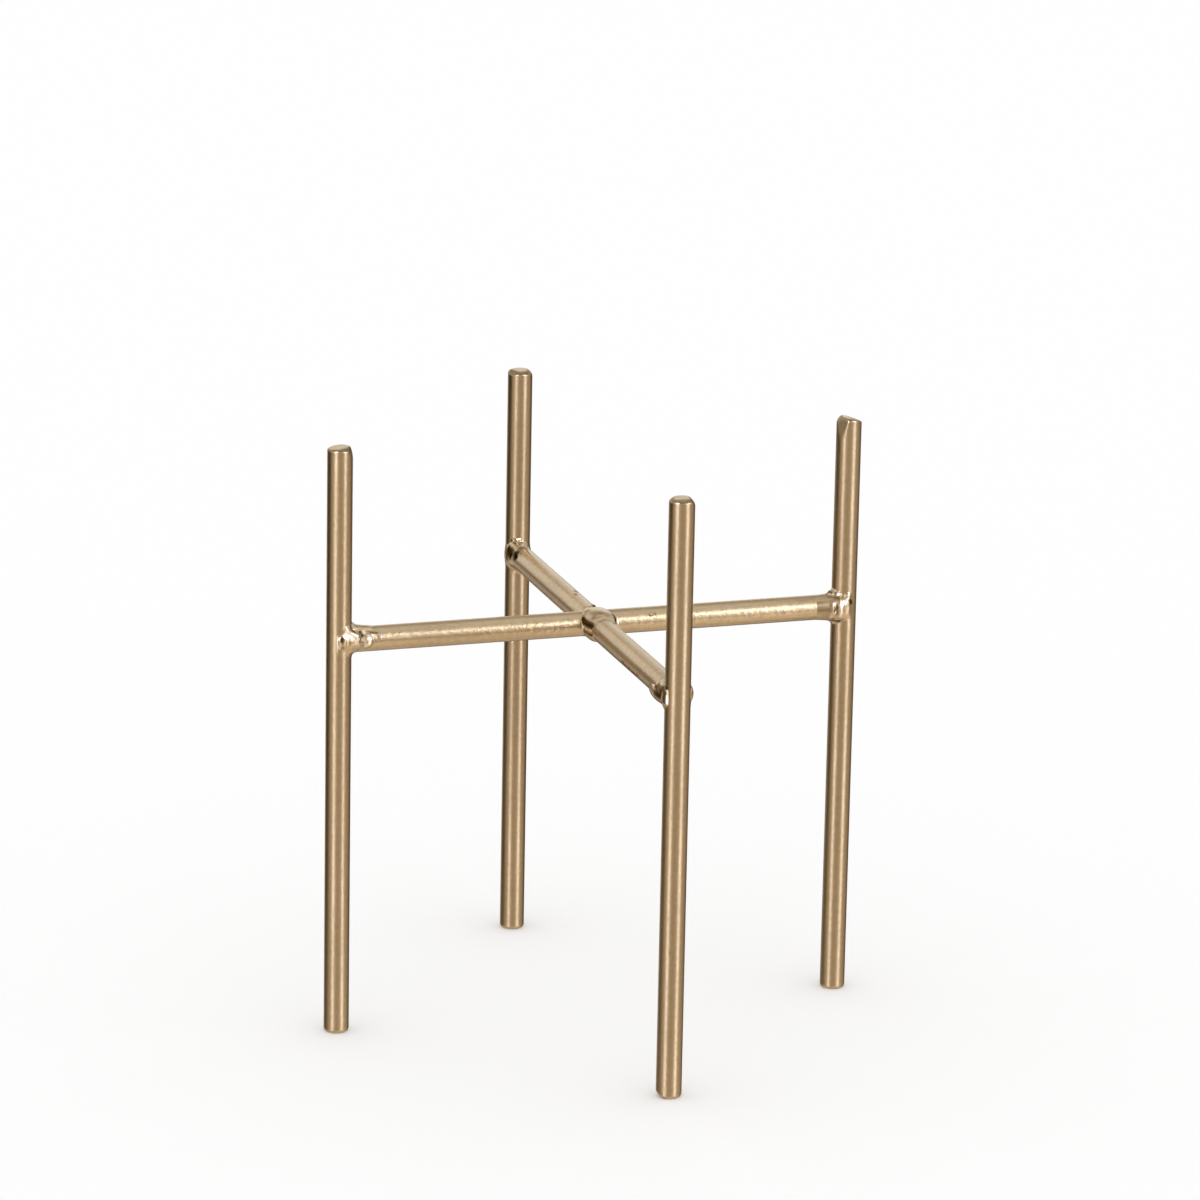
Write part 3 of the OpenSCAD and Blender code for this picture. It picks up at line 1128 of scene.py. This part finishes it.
    def centre(self) -> CrossBead:
        """The weld of the crossing, a broad cap with a ball of spatter behind it."""
        r = self.sizes.rod_mm
        return CrossBead("weld_centre", self.sizes, (
            Blob((0.0, -r - 0.4, r - 1.3), (4.1, 6.3, 2.6), 0.3),
            Blob((-1.6, -r - 1.4, -0.9), (2.0, 4.6, 2.2), 0.8),
            Blob((0.4, 2.7, r + 0.15), (0.7, 0.7, 0.7), 0.05),
            Lump((-2.6, -6.5, r + 0.3), -0.5, 0.6, (-1.0, -6.9, r + 0.9)),
            Lump((4.9, -2.4, 1.7), 0.28, 0.45, (4.9, -3.0, 0.4)),
        ), (
            Tint((-3.9, -3.6, 1.7), -1.0, 1.0, (-3.0, -7.4, 1.4), edge=3.0),
            Tint((-3.8, -3.2, 0.2), 0.6, 0.3, (-3.3, -4.6, 0.0)),
            Tint((-3.3, -4.6, 0.0), 0.5, 0.28, (-3.0, -8.3, 0.3)),
            Tint((-3.6, -3.7, -0.8), -0.6, 0.4, (-2.9, -6.5, -0.8)),
            Tint((-2.3, -6.3, 2.9), -0.55, 0.6),
            Tint((-1.9, -5.9, 3.5), -0.4, 0.5, (-0.4, -5.9, 3.9)),
            Tint((-3.6, -3.3, 2.5), -0.5, 0.8, (-2.3, -1.3, 3.8)),
            Tint((2.9, -5.2, 3.2), -1.0, 0.5, (3.0, -7.0, 2.1), edge=1.5),
            Tint((4.1, -2.0, 2.2), -1.0, 0.28, (4.3, -2.9, 0.8), edge=1.5),
            Tint((4.9, -2.4, 1.7), 0.8, 0.3, (4.9, -3.0, 0.4)),
            Tint((0.6, 2.1, r + 0.4), -1.0, 0.6, edge=1.5),
        ), turns=300, ring_turn=0.7)

    def all(self) -> list[Bead]:
        """All five beads."""
        return [self.left(), self.right(), self.front(), self.back(), self.centre()]


# ---- The stand ----


@dataclass
class Stand:
    """The whole stand: its legs, its cross of bars and its weld beads."""

    sizes: StandSizes

    def legs(self) -> list[Leg]:
        """The four legs, each with its own ground flats.

        Returns:
            The legs, left, right, front and back.
        """
        s = self.sizes

        def flats(*rows: Vec3) -> tuple[Flat, ...]:
            """Flats from rows of turn, tilt and depth in millimetres."""
            return tuple(Flat(turn, tilt, depth * MM) for turn, tilt, depth in rows)

        return [
            Leg(Side.LEFT, s, flats((175, 12, 0.5), (300, 30, 0.5), (336, 68, 0.85))),
            Leg(Side.RIGHT, s, flats((10, 20, 1.3), (168, 45, 1.0), (206, 80, 0.85))),
            Leg(Side.FRONT, s, flats((345, 48, 0.95), (170, 30, 0.7), (270, 24, 0.35)),
                flats((170, 42, 0.95)), nick_turn=225.0),
            Leg(Side.BACK, s, flats((340, 40, 0.85), (200, 36, 0.75), (290, 26, 0.45))),
        ]

    def bars(self) -> list[Bar]:
        """The cross bar and the two half bars, with the marks in their coat."""
        return [
            Bar("cross_bar", self.sizes, (
                Tint((13.3, -2.5, 1.7), -1.0, 0.5, edge=3.0),
                # A painted highlight in the middle of the dark mark.
                Tint((13.4, -2.4, 1.8), 1.5, 0.26, edge=2.0),
                Tint((14.4, -2.3, 2.0), -0.7, 0.2, (14.6, -2.7, 1.3)),
                Tint((-7.2, -2.4, 1.8), -0.5, 0.4),
            )),
            Bar("half_bar_front", self.sizes, (
                Tint((-2.9, -31.0, -0.6), -1.0, 0.4, (-2.9, -32.0, -0.7)),
                Tint((-2.9, -33.2, -0.8), -0.8, 0.3, (-2.9, -33.8, -0.8)),
                Tint((-2.7, -34.6, -1.3), -0.8, 0.35, (-2.7, -35.3, -1.3)),
                Tint((-2.9, -35.8, -0.8), -0.8, 0.3, (-2.9, -36.3, -0.7)),
                Tint((-2.6, -37.0, -1.5), -0.7, 0.38, (-2.6, -37.8, -1.5)),
                Tint((-2.9, -38.4, -0.9), -0.9, 0.35, (-2.8, -39.2, -1.0)),
                Tint((-2.7, -40.2, -1.3), -0.7, 0.35, (-2.7, -40.7, -1.2)),
                Tint((-2.9, -41.6, -0.6), -0.8, 0.35, (-2.9, -42.4, -0.6)),
            )),
            Bar("half_bar_back", self.sizes, (
                Tint((0.7, 17.8, 2.9), -1.0, 0.4, (0.8, 16.9, 2.9)),
                Tint((-0.2, 15.1, 3.0), -0.9, 0.35, (0.0, 14.3, 3.0)),
            )),
        ]

    def build(self) -> None:
        """Makes every piece, dresses it and ties it to its node."""
        grain = SprayedGrain().build()
        leg_coat = MetallicCoat()
        bar_coat = MetallicCoat("bar_coat", relief=0.75)
        weld_coat = MetallicCoat(
            "weld_coat", "coated_weld", relief=0.06, roughness=(0.4, 0.28), lacquer_roughness=0.12,
        )
        beads = Welds(self.sizes).all()
        for coat, parts in ((leg_coat, self.legs()), (bar_coat, self.bars()), (weld_coat, beads)):
            paint = coat.build(grain)
            for part in parts:
                self.dress(part.build(), part.node, coat, paint)

    def dress(self, piece: Object, node: str, coat: MetallicCoat,
              paint: bpy.types.Material) -> None:
        """Gives a piece its finish and lets it ride in place of its node.

        Args:
            piece: The piece.
            node: Name of the node that it stands for.
            coat: The coat that it has; not used.
            paint: The coat's material.
        """
        piece.name = f"{node}_surface"
        piece.data.materials.append(paint)
        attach(piece, "root")
        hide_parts(node)
        LOG.info("%s: %d faces", piece.name, len(piece.data.polygons))


# ---- Studio ----


@dataclass(frozen=True)
class Placed:
    """A flat thing that faces the stand.

    Attributes:
        name: Its name.
        turn: Direction in which it stands, seen from above, 0 in front of the stand.
        rise: Angle above the floor at which it stands.
        distance: Distance of its centre from the stand.
        size: Width and height.
    """

    name: str
    turn: float
    rise: float
    distance: float
    size: tuple[float, float]


@dataclass(frozen=True)
class Panel(Placed):
    """A light panel, whose face is white where its radiance is 1."""

    radiance: float


@dataclass(frozen=True)
class Card(Placed):
    """A card of one shade, where 1 is white, seen only in the metal."""

    shade: Vec3


@dataclass
class Studio:
    """White room, pale floor, soft panels, shaded cards and the camera."""

    sizes: StandSizes
    turn: float = -17.89
    rise: float = 15.99
    roll: float = 1.09
    distance: float = 1.4544
    focal_px: float = 6112.0
    centre_px: tuple[float, float] = (594.4, 622.7)
    sensor: float = 36.0
    room: tuple[tuple[float, Vec3], ...] = (
        (-0.75, (0.86, 0.78, 0.68)),
        (-0.35, (0.52, 0.43, 0.34)),
        (-0.16, (0.51, 0.42, 0.32)),
        (-0.06, (0.27, 0.165, 0.075)),
        (-0.005, (1.0, 1.0, 1.0)),
    )
    floor_colour: Vec3 = (0.995, 0.995, 0.995)
    floor_size: float = 300.0
    lamp_colour: Vec3 = (0.95, 0.98, 1.12)
    panels: tuple[Panel, ...] = (
        Panel("panel_left", -54.0, 0.0, 0.8, (0.27, 1.4), 2.05),
        Panel("panel_right", 36.5, 0.0, 2.5, (1.05, 3.0), 2.15),
        Panel("panel_top", 28.0, 30.0, 0.9, (0.5, 0.25), 2.9),
        Panel("lamp_left", -54.0, 22.0, 0.75, (0.24, 0.30), 7.0),
        Panel("lamp_right", 40.0, 22.0, 0.85, (0.22, 0.34), 7.0),
    )
    cards: tuple[Card, ...] = (
        Card("dark_card", -126.0, -8.0, 1.2, (1.15, 0.80), (0.035, 0.024, 0.013)),
        Card("back_card", 152.0, -28.0, 0.7, (0.9, 0.55), (0.09, 0.055, 0.03)),
        Card("rim_card", 122.0, -5.0, 1.0, (0.85, 0.7), (0.22, 0.16, 0.10)),
        Card("glow_card", 40.0, -45.0, 2.9, (3.6, 2.0), (1.22, 1.06, 0.86)),
        Card("back_glow", 180.0, 11.0, 1.5, (1.45, 0.70), (1.28, 1.25, 1.15)),
        Card("low_glow", -170.0, -20.0, 1.0, (0.50, 0.26), (0.80, 0.70, 0.58)),
        Card("front_card", -20.0, 38.0, 3.5, (3.2, 4.2), (0.42, 0.34, 0.25)),
        Card("high_card", 158.0, 45.0, 0.8, (0.8, 0.5), (0.58, 0.52, 0.45)),
    )

    @staticmethod
    def towards(turn: float, rise: float) -> Array:
        """Unit vector from the stand to a place at a turn and a rise."""
        a, e = np.radians(turn), np.radians(rise)
        return np.array([np.sin(a) * np.cos(e), -np.cos(a) * np.cos(e), np.sin(e)])

    def facing(self, turn: float, rise: float, distance: float) -> Array:
        """Matrix of an object that looks along its -Z at the crossing.

        Args:
            turn: Turn of its place.
            rise: Rise of its place.
            distance: Distance from the crossing.

        Returns:
            A 4 by 4 matrix with its X axis level.
        """
        back = self.towards(turn, rise)
        right = np.cross([0.0, 0.0, 1.0], back)
        right /= np.linalg.norm(right)
        placed = np.eye(4)
        placed[:3, 0] = right
        placed[:3, 1] = np.cross(back, right)
        placed[:3, 2] = back
        placed[:3, 3] = self.sizes.crossing + distance * back
        return placed

    def camera(self) -> None:
        """Puts the camera at the photograph's viewing angle, aimed at the crossing."""
        data = bpy.data.cameras.new("camera")
        data.sensor_width = self.sensor
        data.lens = self.sensor * self.focal_px / IMAGE_PX
        data.shift_x = (IMAGE_PX / 2 - self.centre_px[0]) / IMAGE_PX
        data.shift_y = (self.centre_px[1] - IMAGE_PX / 2) / IMAGE_PX
        made = add_object("camera", data)
        placed = self.facing(self.turn, self.rise, self.distance)
        c, s = unit(self.roll)[:2]
        placed[:3, :2] = placed[:3, :2] @ np.array([[c, -s], [s, c]])
        made.matrix_world = placed.T.tolist()
        bpy.context.scene.camera = made

    def world(self) -> None:
        """Makes the room even white, with a beige ground that shows only in the metal.

        The colour follows the height of the direction looked in, from -1 straight
        down to 1 straight up. The white floor hides the ground from all but the metal.
        """
        world = bpy.data.worlds.new("white_room")
        world.use_nodes = True
        tree = Tree(world.node_tree)
        looked = tree.node("ShaderNodeTexCoord", {}).outputs["Generated"]
        height = tree.node("ShaderNodeSeparateXYZ", {"Vector": looked}).outputs["Z"]
        ramp = tree.node("ShaderNodeValToRGB", {"Fac": tree.ranged(height, -1.0, 1.0)})
        stops = ramp.color_ramp.elements
        while len(stops) < len(self.room):
            stops.new(0.5)
        for stop, (place, colour) in zip(stops, self.room):
            stop.position = (place + 1.0) / 2.0
            stop.color = (*colour, 1.0)
        tree.fill(world.node_tree.nodes["Background"], {"Color": ramp.outputs["Color"]})
        bpy.context.scene.world = world

    def sheet(self, name: str, corners: Array, shader: dict[str, Source]) -> Object:
        """A flat sheet that belongs to the studio.

        Args:
            name: Its name.
            corners: Its four corners.
            shader: Inputs of its material's shader.

        Returns:
            The sheet.
        """
        mesh = bpy.data.meshes.new(name)
        mesh.from_pydata(corners.tolist(), [], [[0, 1, 2, 3]])
        paint = bpy.data.materials.new(name)
        paint.use_nodes = True
        Tree(paint.node_tree).fill(paint.node_tree.nodes["Principled BSDF"], shader)
        mesh.materials.append(paint)
        made = add_object(name, mesh)
        return made

    def floor(self) -> None:
        """A plain pale floor, which the metal sees as the white of the room."""
        corners = np.column_stack([self.floor_size / 2 * SQUARE, np.zeros(len(SQUARE))])
        floor = self.sheet("floor", corners, {
            "Base Color": (*self.floor_colour, 1.0), "Roughness": 1.0, "Specular IOR Level": 0.0,
        })
        floor.visible_glossy = False

    def lights(self) -> None:
        """Hangs the soft panels round the stand."""
        for panel in self.panels:
            data = bpy.data.lights.new(panel.name, "AREA")
            data.shape = "RECTANGLE"
            data.size, data.size_y = panel.size
            # A flat emitter of radiance L and area A gives pi * L * A watts.
            data.energy = np.pi * panel.radiance * panel.size[0] * panel.size[1]
            data.color = self.lamp_colour
            made = add_object(panel.name, data)
            made.matrix_world = self.facing(panel.turn, panel.rise, panel.distance).T.tolist()
            made.visible_camera = False
            made.visible_diffuse = False

    def stand_cards(self) -> None:
        """Stands the shaded cards round the stand, where only the metal sees them."""
        for card in self.cards:
            placed = self.facing(card.turn, card.rise, card.distance)
            plan = np.array(card.size) / 2 * SQUARE
            sheet = self.sheet(card.name, plan @ placed[:3, :2].T + placed[:3, 3], {
                "Base Color": (0.0, 0.0, 0.0, 1.0),
                "Specular IOR Level": 0.0,
                "Emission Color": (*card.shade, 1.0),
                "Emission Strength": 1.0,
            })
            sheet.visible_camera = False
            sheet.visible_diffuse = False
            sheet.visible_shadow = False

    def build(self) -> None:
        """Sets up the camera, the room, the floor and the lights."""
        self.camera()
        self.world()
        self.floor()
        self.lights()
        self.stand_cards()
        bpy.context.scene.view_settings.view_transform = "Standard"
        LOG.info("studio: %d panels, %d cards", len(self.panels), len(self.cards))


def main() -> None:
    logging.basicConfig(level=logging.INFO, format="%(name)s: %(message)s")
    sizes = StandSizes.from_frame()
    LOG.info("rod %.2f mm, legs %.1f mm", 2 * sizes.rod_r / MM, sizes.leg_h / MM)
    Stand(sizes).build()
    Studio(sizes).build()


if __name__ == "__main__":
    main()
